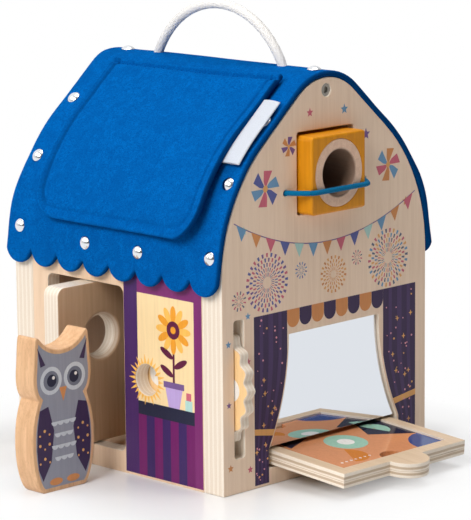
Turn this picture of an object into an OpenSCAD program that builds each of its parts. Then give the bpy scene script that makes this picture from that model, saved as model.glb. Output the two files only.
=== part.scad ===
// Wooden activity house: plywood gables and wall panels under a nailed felt roof, with a revolving door,
// a turning picture wheel, a sloping drawer, a sprung push block, a felt roof flap, a rope handle and a
// loose wooden owl. The ridge runs along X, the doorway faces -Y and the mirror gable faces +X.
// The origin is the centre of the footprint, on the floor. All sizes are in millimetres.

/* [House] */
// Length over the two gables
house_l = 200; // [190:1:215]
// Width over the two wall panels
house_w = 197; // [190:1:210]
// Height of the straight part of the gable edges
wall_h = 137; // [133:1:142]
// Slope of the roof
roof_slope = 41; // [39:1:43]
// Radius of the gable edge at the eaves
eave_r = 118; // [112:1:122]
// Radius of the gable edge at the ridge
ridge_r = 39; // [34:1:43]
// Thickness of the gables
gable_t = 18; // [16:1:19]
// Thickness of the wall panels
panel_t = 11; // [10:0.5:12]
// Rise of the wall panels above the straight part of the gable edges
panel_up = 21; // [19:0.5:24]
// Thickness of the base board
base_t = 9; // [8:0.5:10]
// Width of the ridge rail
rail_w = 24; // [20:1:28]
// Height of the ridge rail under the peak
rail_h = 17; // [15:0.5:18]

/* [Door] */
// Width of the doorway
doorway_w = 74.5; // [70:0.5:78]
// Height of the doorway
doorway_h = 112; // [106:1:114]
// Centre of the doorway along the ridge
doorway_x = -29.75; // [-31:0.25:-28]
// Height of the sill under the doorway
sill_h = 14.5; // [13:0.5:16]
// Corner radius of the doorway
doorway_r = 5; // [3:0.5:6]
// Thickness of the door
door_t = 14; // [9:0.5:15]
// Corner radius of the door
door_r = 6; // [5:0.5:9]
// Radius of the hole in the door
door_hole_r = 13.5; // [11:0.5:16]
// Width of the bevel round the door's hole
door_bevel = 3; // [1:0.25:3.5]
// Height of the hole's centre above the floor
door_hole_z = 88; // [80:1:95]
// Distance of the hole's centre from the pivot, towards the inside
door_hole_off = 2.5; // [-4:0.5:4]
// Radius of the pivot pins
pin_r = 2.5; // [2:0.25:3]
// Depth of a pivot pin in the door and in the panel
pin_depth = 9; // [7:0.5:11]

/* [Wheel] */
// Outer radius of the picture wheel
wheel_r = 49; // [44:0.5:51]
// Depth of the waves on the wheel's edge
wave_depth = 3; // [2:0.5:4]
// Number of waves
wave_count = 24; // [18:1:28]
// Thickness of the wheel
wheel_t = 7.5; // [6:0.5:9]
// Wheel centre along the ridge
wheel_x = 62; // [60:0.5:63]
// Height of the wheel's centre
wheel_z = 69; // [65:1:73]
// Radius of the wheel's axle
axle_r = 5; // [4:0.5:6]
// Radius of the round window in front of the wheel
window_r = 10.5; // [8:0.5:12]
// Distance of that window from the wheel's centre along the ridge
window_off = 32.6; // [30:0.2:36]
// Height of that window's centre
window_z = 67; // [64:1:70]

/* [Mirror and drawer] */
// Centre of the mirror across the gable
mirror_y = 7; // [5:0.5:9]
// Height of the mirror's top edge
mirror_top = 98; // [92:1:102]
// Half width of the mirror's top edge
mirror_half = 43.5; // [41:0.5:46]
// Growth of the half width towards the bottom
mirror_flare = 18.5; // [15:0.5:20]
// Thickness of the mirror
mirror_t = 3; // [2:0.5:4]
// Depth of the mirror's face behind the gable's face
mirror_recess = 2.5; // [2:0.5:6]
// Centre of the drawer across the gable
drawer_y = 6.5; // [4:0.5:8]
// Length of the drawer, without its tab
drawer_l = 118; // [110:1:122]
// Width of the drawer
drawer_w = 119; // [114:1:121]
// Thickness of the drawer's base
drawer_base_t = 4.5; // [3.5:0.5:5]
// Thickness of the drawer's frame
drawer_frame_t = 5.5; // [4.5:0.5:6.5]
// Width of the drawer's border
drawer_border = 9.5; // [8.5:0.5:12]
// Radius of the drawer's half-round tab
drawer_tab_r = 15.5; // [13:0.5:18]
// Thickness of the picture plate in the drawer
picture_t = 4; // [3:0.25:4.5]
// Radius of the finger notch in the picture plate
notch_r = 10; // [8:0.5:12]
// Fall of the drawer's runners towards the outside
drawer_slope = 4; // [3:0.5:5]
// Height of the drawer's top face at the gable's face
drawer_z = 23; // [22.5:0.5:25]
// How far the drawer stands out
drawer_out = 64; // [56:1:68]
// Thickness of a runner's lips over the drawer
runner_lip = 4; // [3:0.5:5]
// Depth of the runners' grooves
runner_hold = 6; // [4:0.5:7]
// Thickness of a runner's wall beside the drawer
runner_wall = 3; // [2.5:0.25:3.2]

/* [Push block] */
// Side of the square block
block_w = 52; // [48:0.5:54]
// How far the block stands out of the gable
block_out = 12; // [9:0.5:15]
// Travel of the block
block_travel = 10; // [8:0.5:12]
// Centre of the block across the gable
block_y = -1; // [-3:0.5:1]
// Distance from the gable's peak down to the sill of the block's window
block_down = 88; // [86:0.5:91]
// Corner radius of the block
block_r = 4; // [3:0.5:6]
// Rounding of the block's outer edges
block_edge = 2.2; // [1:0.2:3]
// Room above and beside the block in its window
block_room = 2.4; // [2:0.2:3]
// Outer radius of the tube in the block
tube_r = 22.5; // [20:0.5:23.5]
// Radius of the tube's bore
bore_r = 15.5; // [13:0.5:17]
// Thickness of the flange behind the block
flange_t = 5; // [4:0.5:6]
// Reach of the flange beyond the block
flange_reach = 5; // [4:0.5:6]
// Radius of the elastic cord
elastic_r = 1.75; // [1.25:0.25:2]
// Height of the elastic above the block's window sill
elastic_up = 16; // [13:0.5:18]
// Distance of the elastic's holes from the block's centre
elastic_hole_y = 38; // [36.5:0.5:40]

/* [Felt roof] */
// Thickness of the felt
felt_t = 4; // [3.5:0.5:5]
// Reach of the felt beyond the mirror gable
felt_near = 0.5; // [0.5:0.5:3]
// Reach of the felt beyond the plain gable
felt_far = 4; // [1:0.5:6]
// Height of the lowest points of the hem
hem_z = 131; // [128:0.5:133]
// Depth of the scallops in the hem
scallop_depth = 9; // [7:0.5:11]
// Number of scallops along one hem
scallop_count = 8; // [6:1:10]
// Gap between the flap and the nail heads on the mirror gable
flap_near = 2.5; // [2:0.5:6]
// Gap between the flap and the nail heads on the plain gable
flap_far = 11.5; // [8:0.5:14]
// Distance of the flap's seam from the ridge, along the felt
flap_seam = 23.5; // [21:0.5:26]
// Length of the flap
flap_l = 126.5; // [118:0.5:130]
// Corner radius of the flap
flap_r = 22; // [16:1:26]
// Margin of the roof hatch inside the flap
hatch_margin = 22; // [18:1:28]
// Length of the tag on the flap's edge
tag_l = 52; // [44:1:56]
// Width of the tag
tag_w = 13.5; // [10:0.5:15]
// Distance of the tag's upper end from the flap's seam
tag_down = 21; // [15:0.5:24]

/* [Fasteners and handle] */
// Radius of the nail heads
nail_head_r = 5; // [4:0.25:5.5]
// Height of the nail heads
nail_head_h = 2.6; // [2:0.2:2.8]
// Radius of the nail shanks
nail_r = 1; // [0.8:0.1:1.3]
// Length of the nail shanks
nail_l = 10; // [9:0.5:10.5]
// Distance of the gable nails from the gable's face
nail_inset = 8.5; // [7:0.5:10]
// Distance of the ridge nails from the gable's face
ridge_nail_inset = 11; // [8:0.5:12]
// Distance of a gable's first nail from the ridge, along the felt
nail_first = 59; // [54:0.5:62]
// Distance between a gable's nails along the felt
nail_pitch = 49.75; // [46:0.25:51]
// Distance of the hem nails from the flap's lower edge, along the felt
hem_nail_down = 12.5; // [8:0.5:16]
// Radius of the handle rope
rope_r = 3.25; // [3:0.25:4]
// Radius of the handle's arch
rope_arch_r = 65.5; // [62:0.5:68]
// Height of the arch over the felt at the ridge, at the rope's middle line
rope_rise = 37.5; // [34:0.1:39]
// Radius of the handle's knots
knot_r = 6.5; // [5.5:0.25:7]

/* [Figure] */
// Thickness of the owl
owl_t = 18; // [14:0.5:19]
// Height of the owl
owl_h = 104; // [96:1:108]
// Distance of the owl's middle from the front of the house
owl_away = 55; // [53:0.5:62]

/* [Hidden] */
$fn = 64;

// Clearances: a glued or nailed fit, a running gap between moving pieces, and the overlap of a cut
glue_gap = 0.05;
run_gap = 0.3;
past = 1;

// House
half_l = house_l / 2;
half_w = house_w / 2;
inner_x = half_l - gable_t;
inner_y = half_w - panel_t;
panel_h = wall_h + panel_up;
arc_steps = 12;
turn = 90 - roof_slope;
eave_y = half_w - eave_r;
slope_reach = eave_y * cos(turn) + wall_h * sin(turn) + eave_r;
ridge_z = (slope_reach - ridge_r) / sin(turn);
peak_z = ridge_z + ridge_r;
rail_z = peak_z - rail_h;

// Lengths along the felt's outer face, measured from the ridge
felt_ridge_r = ridge_r + felt_t;
felt_eave_r = eave_r + felt_t;
slope_normal = [cos(180 - turn), sin(180 - turn)];
slope_down = [-sin(180 - turn), cos(180 - turn)];
slope_top = [0, ridge_z] + ridge_r * slope_normal;
slope_end = [-eave_y, wall_h] + eave_r * slope_normal;
ridge_run = felt_ridge_r * roof_slope * PI / 180;
slope_run = norm(slope_end - slope_top);

// Felt
felt_l = house_l + felt_near + felt_far;
felt_end = -half_l - felt_far;
scallop_pitch = felt_l / scallop_count;
scallop_r = (pow(scallop_pitch / 2, 2) + pow(scallop_depth, 2)) / (2 * scallop_depth);
flap_out = felt_t + run_gap;
flap_right = half_l - nail_inset - nail_head_r - flap_near;
flap_left = -half_l + nail_inset + nail_head_r + flap_far;
flap_w = flap_right - flap_left;
flap_x = (flap_right + flap_left) / 2;
strip_steps = 24;
tag_room = 0.5;
tag_low = felt_t + nail_head_h + tag_room;

// Nails: distances along the felt from the ridge, and places along the hem
nail_rows = 3;
gable_nails = [for (i = [0:nail_rows - 1]) nail_first + i * nail_pitch];
hem_nails = flap_seam + flap_l + hem_nail_down;
hem_nail_x = [-25.5, 25.5];

// Ridge screws
screw_down = 8.4;
screw_z = peak_z - screw_down;
screw_l = 25;
screw_r = 2;
screw_head_r = 4.25;
screw_head_h = 3;
screw_sink = 1;
socket_r = 2.4;
socket_d = 1.6;

// Dowels
dowel_r = 3;
dowel_l = 20;
dowel_low = 7;
dowel_down = 15;
dowel_high = panel_h - dowel_down;
base_dowel_r = 2.5;
base_dowel_y = 50;

// Door
swing_gap = 0.35;
door_room = 1;
door_y = -half_w + panel_t / 2;
door_w = 2 * sqrt(pow(doorway_w / 2 - swing_gap, 2) - pow(door_t / 2, 2));
door_low = sill_h + door_room;
door_high = sill_h + doorway_h - door_room;
washer_t = door_room - run_gap;
washer_r = 4.5;

// Wheel
wheel_gap = 0.5;
wheel_y = -inner_y + wheel_gap;
wheel_end = wheel_y + wheel_t;
wave_points = 8;
axle_depth = 6;
axle_end = wheel_end + run_gap;
wheel_washer_r = 10;
wheel_washer_t = 1.5;
wheel_screw_l = 11;
slot_room = 0.85;
slot_end_room = 1;
slot_half_z = sqrt(pow(wheel_r, 2) - pow(inner_x - wheel_x, 2)) + slot_end_room;
slot_r = 2;

// Mirror and drawer
drawer_t = drawer_base_t + drawer_frame_t;
drawer_rear = drawer_out - drawer_l;
drawer_half = drawer_w / 2;
slot_room_y = 3;
slot_over = 0.7;
slot_under = 1.5;
slot_top = drawer_z + gable_t * tan(drawer_slope) + slot_over;
slot_low = drawer_z - drawer_t / cos(drawer_slope) - slot_under;
pocket_d = mirror_recess + mirror_t;
pocket_steps = 14;
peg_r = 3;
peg_up = 6;
peg_down = 8;
peg_in = 5;
peg_side = 14;
runner_end = 4;
runner_w = runner_wall + runner_hold;
runner_mid = drawer_half + run_gap + (runner_wall - runner_hold) / 2;

// Push block
block_z = peak_z - block_down;
block_front = half_l + block_out;
block_cz = block_z + run_gap + block_w / 2;
window_w = block_w + block_room;
travel_room = 0.5;
flange_front = inner_x - block_travel - travel_room;
flange_back = flange_front - flange_t;
flange_w = block_w + 2 * flange_reach;
flange_screw_in = 6;
flange_screw_l = 15;
flange_screw_r = 1.5;
flange_head_r = 3;
flange_head_h = 2;
stop_t = 6;
stop_h = 20;
stop_toe = 7;
stop_side_gap = 1;
stop_down = 4;
stop_low = block_cz - stop_down;
elastic_z = block_z + elastic_up;
elastic_gap = 0.1;
elastic_front = block_front + elastic_r + elastic_gap;
elastic_lead = 0.9;
elastic_knot_r = 4;
elastic_knot_l = 6;
cord_sides = 10;

// Rope handle
rope_x = 1;
rope_z = peak_z + felt_t + rope_rise - rope_arch_r;

// Owl: curves of one half of its outline, as shares of the height
owl_x = -1;
owl_y = -half_w - owl_away;
owl_curves = [
    [[0.17, 0], [0.214, 0.018], [0.268, 0.16], [0.259, 0.357]],
    [[0.259, 0.357], [0.253, 0.464], [0.232, 0.536], [0.2, 0.598]],
    [[0.2, 0.598], [0.241, 0.634], [0.25, 0.714], [0.237, 0.804]],
    [[0.237, 0.804], [0.232, 0.875], [0.228, 0.94], [0.221, 0.982]],
    [[0.221, 0.982], [0.216, 1.006], [0.194, 1.004], [0.179, 0.984]],
    [[0.179, 0.984], [0.134, 0.929], [0.071, 0.902], [0, 0.902]]
];
owl_steps = 8;

// Points of an arc round a centre
function arc(centre, r, from, to) =
    [for (i = [0:arc_steps]) let (a = from + (to - from) * i / arc_steps) centre + r * [cos(a), sin(a)]];

// Gable edge grown outwards by off, as [Y, Z] points
function gable_edge(off) = concat(
    [[half_w + off, 0]],
    arc([eave_y, wall_h], eave_r + off, 0, turn),
    arc([0, ridge_z], ridge_r + off, turn, 180 - turn),
    arc([-eave_y, wall_h], eave_r + off, 180 - turn, 180),
    [[-half_w - off, 0]]
);

// Direction of the roof's face on the door side, at a distance from the ridge
function roof_normal(run) =
    run < ridge_run ? 90 + run / felt_ridge_r * 180 / PI :
    run < ridge_run + slope_run ? 180 - turn :
    180 - turn + (run - ridge_run - slope_run) / felt_eave_r * 180 / PI;

// Point over the roof on the door side, at a distance from the ridge and a height over the gable edge
function roof_point(run, off) =
    let (a = roof_normal(run), n = [cos(a), sin(a)])
    run < ridge_run ? [0, ridge_z] + (ridge_r + off) * n :
    run < ridge_run + slope_run ? slope_top + off * n + (run - ridge_run) * slope_down :
    [-eave_y, wall_h] + (eave_r + off) * n;

// Outline of a strip that follows the roof on the door side
function roof_strip(from, to, low, high) = concat(
    [for (i = [0:strip_steps]) roof_point(from + (to - from) * i / strip_steps, low)],
    [for (i = [strip_steps:-1:0]) roof_point(from + (to - from) * i / strip_steps, high)]
);

// Half width of the mirror at a height
function mirror_reach(z) = mirror_half + mirror_flare * pow((mirror_top - z) / (mirror_top - slot_top), 2);

// Point on a cubic curve
function curve(p, t) =
    pow(1 - t, 3) * p[0] + 3 * pow(1 - t, 2) * t * p[1] + 3 * (1 - t) * t * t * p[2] + t * t * t * p[3];

// Places an outline drawn in Y and Z, and gives it a length along X
module along_x(x, length) {
    translate([x, 0, 0]) rotate([90, 0, 90]) linear_extrude(length) children();
}

// Places an outline drawn in X and Z, and gives it a length along Y
module along_y(y, length) {
    translate([0, y + length, 0]) rotate([90, 0, 0]) linear_extrude(length) children();
}

// Rounded rectangle between two corners
module round_rect(low, high, r) {
    size = high - low;
    translate(low + [r, 0]) square([size[0] - 2 * r, size[1]]);
    translate(low + [0, r]) square([size[0], size[1] - 2 * r]);
    for (x = [r, size[0] - r], y = [r, size[1] - r]) translate(low + [x, y]) circle(r);
}

// Round bar along X
module bar_x(r, x, length, y, z) {
    translate([x, y, z]) rotate([0, 90, 0]) cylinder(r = r, h = length);
}

// Round bar along Y
module bar_y(r, y, length, x, z) {
    translate([x, y, z]) rotate([-90, 0, 0]) cylinder(r = r, h = length);
}

// Frame of the sloping drawer: X runs outwards, and Z = 0 is the drawer's top
module on_drawer_slope() {
    translate([half_l, drawer_y, drawer_z]) rotate([0, drawer_slope, 0]) children();
}

// Puts a nail's axis square to the felt, with its head outwards, on the side of the roof given by its sign
module on_roof(x, run, side) {
    place = roof_point(run, felt_t);
    mirror([0, side > 0 ? 1 : 0, 0]) translate([x, place[0], place[1]])
        rotate([roof_normal(run) - 90, 0, 0]) children();
}

// Every nail position on the felt
module each_nail() {
    for (end = [-1, 1]) {
        on_roof(end * (half_l - ridge_nail_inset), 0, -1) children();
        for (side = [-1, 1], run = gable_nails)
            on_roof(end * (half_l - nail_inset), run, side) children();
    }
    for (x = hem_nail_x, side = [-1, 1]) on_roof(x, hem_nails, side) children();
}

// Holes for the nail shanks
module nail_holes() {
    each_nail() translate([0, 0, -nail_l]) cylinder(r = nail_r + glue_gap, h = nail_l + past, $fn = 24);
}

// Half ring that the handle rope follows
module rope_path(r) {
    translate([rope_x, 0, rope_z]) rotate([90, 0, 0])
        rotate_extrude(angle = 180) translate([rope_arch_r, 0]) circle(r, $fn = 32);
}

// Every dowel between the panels, the base board and the gables
module each_dowel(gap) {
    for (x = [-inner_x, inner_x]) {
        for (y = [-1, 1] * (half_w - panel_t / 2), z = [dowel_low, dowel_high])
            bar_x(dowel_r + gap, x - dowel_l / 2 - gap, dowel_l + 2 * gap, y, z);
        for (y = [-base_dowel_y, base_dowel_y])
            bar_x(base_dowel_r + gap, x - dowel_l / 2 - gap, dowel_l + 2 * gap, y, base_t / 2);
    }
}

// Ridge screws, grown by a gap
module each_ridge_screw(gap) {
    head_x = half_l - screw_sink - screw_head_h;
    for (side = [0, 1]) mirror([side, 0, 0]) {
        bar_x(screw_r + gap, half_l - screw_l - gap, screw_l - screw_sink, 0, screw_z);
        bar_x(screw_head_r + gap, head_x - gap, screw_head_h + gap, 0, screw_z);
    }
}

// Wells in the gables in front of the sunk ridge screws
module screw_wells() {
    for (side = [0, 1]) mirror([side, 0, 0])
        bar_x(screw_head_r + glue_gap, half_l - screw_sink - past, screw_sink + 2 * past, 0, screw_z);
}

// Plain gable board at one end
module gable_board(x) {
    difference() {
        along_x(x, gable_t) polygon(gable_edge(0));
        nail_holes();
        each_dowel(glue_gap);
        each_ridge_screw(glue_gap);
        screw_wells();
    }
}

// Outline of the mirror, drawn in Y and Z
module mirror_outline(gap) {
    levels = [for (i = [0:pocket_steps]) mirror_top - (mirror_top - slot_top) * i / pocket_steps];
    translate([mirror_y, 0]) polygon(concat(
        [[-mirror_half + gap, mirror_top - gap], [mirror_half - gap, mirror_top - gap]],
        [for (i = [1:pocket_steps]) [mirror_reach(levels[i]) - gap, levels[i]]],
        [for (i = [pocket_steps:-1:1]) [-mirror_reach(levels[i]) + gap, levels[i]]]
    ));
}

// Board between the gables that follows the gable edge
module wall_board(y) {
    intersection() {
        along_x(-inner_x, 2 * inner_x) polygon(gable_edge(0));
        translate([-inner_x, y, 0]) cube([2 * inner_x, panel_t, panel_h]);
    }
}

module mirror_gable() {
    color("burlywood") difference() {
        gable_board(inner_x);
        along_x(inner_x - past, gable_t + 2 * past) round_rect(
            [block_y - window_w / 2, block_z], [block_y + window_w / 2, block_z + window_w], slot_r);
        along_x(half_l - pocket_d, pocket_d + past) mirror_outline(0);
        translate([inner_x - past, drawer_y - drawer_half - slot_room_y, slot_low])
            cube([gable_t + 2 * past, drawer_w + 2 * slot_room_y, slot_top - slot_low]);
        along_x(inner_x - past, gable_t + 2 * past)
            round_rect([wheel_y - slot_room, wheel_z - slot_half_z],
                [wheel_end + slot_room, wheel_z + slot_half_z], slot_r);
        for (side = [-1, 1])
            bar_x(elastic_r + run_gap, inner_x - past, gable_t + 2 * past,
                block_y + side * elastic_hole_y, elastic_z);
    }
}

module plain_gable() {
    color("burlywood") gable_board(-half_l);
}

module front_panel() {
    color("navajowhite") difference() {
        wall_board(-half_w);
        along_y(-half_w - past, panel_t + 2 * past) round_rect(
            [doorway_x - doorway_w / 2, sill_h], [doorway_x + doorway_w / 2, sill_h + doorway_h], doorway_r);
        bar_y(window_r, -half_w - past, panel_t + 2 * past, wheel_x - window_off, window_z);
        bar_y(axle_r + glue_gap, -inner_y - axle_depth, axle_depth + past, wheel_x, wheel_z);
        each_door_pin(glue_gap);
        each_dowel(glue_gap);
        nail_holes();
    }
}

module back_panel() {
    color("navajowhite") difference() {
        wall_board(inner_y);
        each_dowel(glue_gap);
        nail_holes();
    }
}

module base_board() {
    color("wheat") difference() {
        translate([-inner_x, -inner_y, 0]) cube([2 * inner_x, 2 * inner_y, base_t]);
        each_dowel(glue_gap);
    }
}

module ridge_rail() {
    color("tan") difference() {
        intersection() {
            along_x(-inner_x, 2 * inner_x) polygon(gable_edge(0));
            translate([-inner_x, -rail_w / 2, rail_z]) cube([2 * inner_x, rail_w, rail_h + past]);
        }
        rope_path(rope_r + run_gap);
        each_ridge_screw(glue_gap);
    }
}

module ridge_screws() {
    color("dimgray") difference() {
        each_ridge_screw(0);
        for (side = [0, 1]) mirror([side, 0, 0]) translate([half_l - screw_sink - socket_d, 0, screw_z])
            rotate([0, 90, 0]) cylinder(r = socket_r, h = socket_d + past, $fn = 6);
    }
}

module panel_dowels() {
    color("wheat") each_dowel(0);
}

module mirror_sheet() {
    color("lightsteelblue") along_x(half_l - pocket_d, mirror_t) mirror_outline(run_gap);
}

module drawer_runners() {
    color("tan") for (side = [-1, 1]) difference() {
        intersection() {
            translate([-half_l, drawer_y + side * runner_mid - runner_w / 2, base_t])
                cube([half_l + inner_x, runner_w, house_w]);
            on_drawer_slope() translate([drawer_rear - drawer_out - runner_end, -house_w / 2, -house_w])
                cube([house_l, house_w, house_w + run_gap + runner_lip]);
        }
        on_drawer_slope()
            translate([drawer_rear - drawer_out - run_gap, -drawer_half - run_gap, -drawer_t - run_gap])
            cube([house_l, drawer_w + 2 * run_gap, drawer_t + 2 * run_gap]);
    }
}

module stop_brackets() {
    stop_x = flange_back - run_gap - stop_t;
    arm_y = flange_w / 2 + stop_side_gap;
    color("tan") for (side = [-1, 1]) translate([0, block_y, 0]) {
        translate([stop_x, side > 0 ? arm_y : -arm_y - stop_t, stop_low])
            cube([inner_x - stop_x, stop_t, stop_h]);
        translate([stop_x, side > 0 ? arm_y - stop_toe : -arm_y, stop_low]) cube([stop_t, stop_toe, stop_h]);
    }
}

module felt_roof() {
    color("royalblue") difference() {
        intersection() {
            along_x(felt_end, felt_l) difference() {
                polygon(gable_edge(felt_t));
                polygon(gable_edge(0));
            }
            along_y(-house_w, 2 * house_w) {
                translate([felt_end, hem_z + scallop_depth]) square([felt_l, house_w]);
                for (i = [0:scallop_count - 1])
                    translate([felt_end + (i + 0.5) * scallop_pitch, hem_z + scallop_r]) circle(scallop_r);
            }
        }
        along_x(flap_x - flap_w / 2 + hatch_margin, flap_w - 2 * hatch_margin) polygon(roof_strip(
            flap_seam + hatch_margin, flap_seam + flap_l - hatch_margin, -past, felt_t + past));
        rope_path(rope_r + run_gap);
        nail_holes();
    }
}

// Dome on a thin shank, with its seat at the origin
module nail() {
    dome_r = (pow(nail_head_r, 2) + pow(nail_head_h, 2)) / (2 * nail_head_h);
    intersection() {
        translate([0, 0, nail_head_h - dome_r]) sphere(dome_r);
        cylinder(r = nail_head_r, h = nail_head_h);
    }
    translate([0, 0, -nail_l]) cylinder(r = nail_r, h = nail_l, $fn = 24);
}

module roof_nails() {
    color("silver") each_nail() nail();
}

module rope_handle() {
    color("ivory") {
        rope_path(rope_r);
        for (side = [-1, 1]) translate([rope_x + side * rope_arch_r, 0, rail_z - knot_r]) sphere(knot_r);
    }
}

// Cord swept along points at one height, with mitred corners
module cord(points, r) {
    last = len(points) - 1;
    ahead = [for (i = [0:last - 1]) (points[i + 1] - points[i]) / norm(points[i + 1] - points[i])];
    left = [for (d = ahead) [-d[1], d[0]]];
    mitre = [for (i = [0:last]) let (a = left[max(i - 1, 0)], b = left[min(i, last - 1)])
        (a + b) / (1 + a * b)];
    rings = [for (i = [0:last], k = [0:cord_sides - 1]) let (turned = k * 360 / cord_sides)
        concat(points[i] + r * cos(turned) * mitre[i], r * sin(turned))];
    walls = [for (i = [0:last - 1], k = [0:cord_sides - 1]) let (
        a = i * cord_sides + k, b = i * cord_sides + (k + 1) % cord_sides)
        each [[a, a + cord_sides, b + cord_sides], [a, b + cord_sides, b]]];
    polyhedron(rings, concat(
        walls,
        [[for (k = [0:cord_sides - 1]) k]],
        [[for (k = [cord_sides - 1:-1:0]) last * cord_sides + k]]
    ));
}

module elastic_cord() {
    corner_y = block_w / 2 + elastic_lead;
    half = [[inner_x - past, elastic_hole_y], [half_l, elastic_hole_y], [elastic_front, corner_y]];
    other = [for (i = [len(half) - 1:-1:0]) [half[i][0], -half[i][1]]];
    color("teal") translate([0, block_y, elastic_z]) {
        cord(concat(half, other), elastic_r);
        for (side = [-1, 1])
            bar_x(elastic_knot_r, inner_x - elastic_knot_l, elastic_knot_l, side * elastic_hole_y, 0);
    }
}

// Pivot pins, grown by a gap
module each_door_pin(gap) {
    for (z = [sill_h, sill_h + doorway_h])
        translate([doorway_x, door_y, z - pin_depth - gap])
        cylinder(r = pin_r + gap, h = 2 * (pin_depth + gap));
}

module door_pins() {
    color("lightgray") each_door_pin(0);
}

module door_washers() {
    color("white") for (z = [sill_h, sill_h + doorway_h - washer_t])
        translate([doorway_x, door_y, z]) difference() {
            cylinder(r = washer_r, h = washer_t);
            translate([0, 0, -past]) cylinder(r = pin_r + glue_gap, h = washer_t + 2 * past);
        }
}

module wheel_axle() {
    color("wheat") difference() {
        bar_y(axle_r, -inner_y - axle_depth, axle_depth + inner_y + axle_end, wheel_x, wheel_z);
        bar_y(screw_r + glue_gap, axle_end - wheel_screw_l, wheel_screw_l + past, wheel_x, wheel_z);
    }
}

module wheel_washer() {
    color("silver") difference() {
        bar_y(wheel_washer_r, axle_end, wheel_washer_t, wheel_x, wheel_z);
        bar_y(screw_r + glue_gap, axle_end - past, wheel_washer_t + 2 * past, wheel_x, wheel_z);
    }
}

module wheel_screw() {
    color("dimgray") {
        bar_y(screw_r, axle_end + glue_gap - wheel_screw_l, wheel_screw_l + wheel_washer_t, wheel_x, wheel_z);
        bar_y(screw_head_r, axle_end + wheel_washer_t, screw_head_h, wheel_x, wheel_z);
    }
}

module revolving_door() {
    hole_y = door_y + door_hole_off;
    color("navajowhite") difference() {
        along_x(doorway_x - door_t / 2, door_t)
            round_rect([door_y - door_w / 2, door_low], [door_y + door_w / 2, door_high], door_r);
        bar_x(door_hole_r, doorway_x - door_t, 2 * door_t, hole_y, door_hole_z);
        for (side = [-1, 1]) translate([doorway_x, hole_y, door_hole_z]) rotate([0, side * 90, 0])
            translate([0, 0, door_t / 2 - door_bevel])
            cylinder(r1 = door_hole_r, r2 = door_hole_r + door_bevel + past, h = door_bevel + past);
        each_door_pin(glue_gap);
    }
}

module picture_wheel() {
    points = wave_count * wave_points;
    color("orange") difference() {
        along_y(wheel_y, wheel_t) translate([wheel_x, wheel_z]) polygon([
            for (i = [0:points - 1]) let (a = i * 360 / points)
            (wheel_r - wave_depth / 2 * (1 - cos(a * wave_count))) * [cos(a), sin(a)]
        ]);
        bar_y(axle_r + glue_gap, wheel_y - past, wheel_t + 2 * past, wheel_x, wheel_z);
    }
}

// Outline of the drawer with its tab, drawn on the drawer's slope
module drawer_outline() {
    translate([drawer_rear, -drawer_half]) square([drawer_l, drawer_w]);
    translate([drawer_out, 0]) circle(drawer_tab_r);
}

// Opening of the drawer's frame, grown by a gap
module drawer_opening(gap) {
    translate([drawer_rear + drawer_border - gap, -drawer_half + drawer_border - gap])
        square([drawer_l - 2 * (drawer_border - gap), drawer_w - 2 * (drawer_border - gap)]);
}

// Stop pegs at the rear of the drawer, grown by a gap
module each_drawer_peg(gap) {
    for (side = [-1, 1])
        translate([drawer_rear + peg_in, side * (drawer_half - peg_side), -peg_down - gap])
        cylinder(r = peg_r + gap, h = peg_down + peg_up + gap);
}

module drawer_base() {
    color("burlywood") on_drawer_slope() difference() {
        translate([0, 0, -drawer_t]) linear_extrude(drawer_base_t) drawer_outline();
        each_drawer_peg(glue_gap);
    }
}

module drawer_frame() {
    color("burlywood") on_drawer_slope() difference() {
        translate([0, 0, -drawer_frame_t]) linear_extrude(drawer_frame_t) difference() {
            drawer_outline();
            drawer_opening(0);
        }
        each_drawer_peg(glue_gap);
    }
}

module drawer_picture() {
    color("mediumaquamarine") on_drawer_slope() translate([0, 0, -drawer_frame_t]) linear_extrude(picture_t)
        difference() {
            drawer_opening(-run_gap);
            translate([drawer_out - drawer_border, 0]) circle(notch_r);
        }
}

module drawer_pegs() {
    color("wheat") on_drawer_slope() each_drawer_peg(0);
}

// Screws through the flange into the block, grown by a gap
module each_flange_screw(gap) {
    reach = block_w / 2 - flange_screw_in;
    for (y = [-reach, reach], z = [-reach, reach]) {
        bar_x(flange_screw_r + gap, flange_back, flange_screw_l + gap, block_y + y, block_cz + z);
        bar_x(flange_head_r, flange_back - flange_head_h, flange_head_h, block_y + y, block_cz + z);
    }
}

module push_block() {
    half = block_w / 2;
    length = block_front - flange_front;
    color("goldenrod") difference() {
        intersection() {
            along_x(flange_front, length)
                round_rect([block_y - half, block_cz - half], [block_y + half, block_cz + half], block_r);
            along_y(block_y - half - past, block_w + 2 * past) round_rect(
                [flange_front - 2 * block_edge, block_cz - half], [block_front, block_cz + half], block_edge);
            translate([0, 0, block_cz - half - past]) linear_extrude(block_w + 2 * past) round_rect(
                [flange_front - 2 * block_edge, block_y - half], [block_front, block_y + half], block_edge);
        }
        bar_x(tube_r + glue_gap, flange_front - past, length + 2 * past, block_y, block_cz);
        each_flange_screw(glue_gap);
    }
}

module block_tube() {
    color("burlywood") difference() {
        bar_x(tube_r, flange_front, block_front - flange_front, block_y, block_cz);
        bar_x(bore_r, flange_front - past, block_front - flange_front + 2 * past, block_y, block_cz);
    }
}

module block_flange() {
    half = flange_w / 2;
    color("goldenrod") difference() {
        along_x(flange_back, flange_t)
            round_rect([block_y - half, block_cz - half], [block_y + half, block_cz + half], block_r);
        bar_x(bore_r, flange_back - past, flange_t + 2 * past, block_y, block_cz);
        each_flange_screw(glue_gap);
    }
}

module flange_screws() {
    color("dimgray") each_flange_screw(0);
}

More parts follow.
